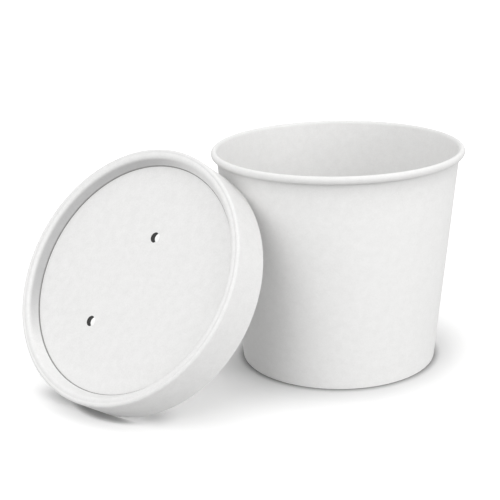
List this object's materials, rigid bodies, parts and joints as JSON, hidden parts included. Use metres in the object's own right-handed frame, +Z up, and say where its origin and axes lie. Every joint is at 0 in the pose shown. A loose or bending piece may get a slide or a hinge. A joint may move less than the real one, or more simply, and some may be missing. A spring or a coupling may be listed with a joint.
{
  "type": "takeaway soup container",
  "caption": "Round white paper soup cup for takeaway meals, open and empty, with a rolled rim and a vented, recessed paper lid that leans against its side.",
  "frame": {"origin": "On the floor, under the middle of the bounding box of the cup and its leaning lid.", "axes": "+Z is up, along the cup's axis. +X runs along the longest side of the pair, from the lid towards the cup. +Y points away from the side that the lid's face looks to."},
  "size_m": [0.2028, 0.158, 0.1075],
  "materials": {
    "cup_board": "white coated paperboard, soft satin",
    "lid_board": "white paperboard, smooth and nearly matt"
  },
  "bodies": {
    "root": {"cup_wall": "cup_board", "cup_base": "cup_board", "lid_band": "lid_board", "lid_disc": "lid_board"}
  },
  "joints": []
}
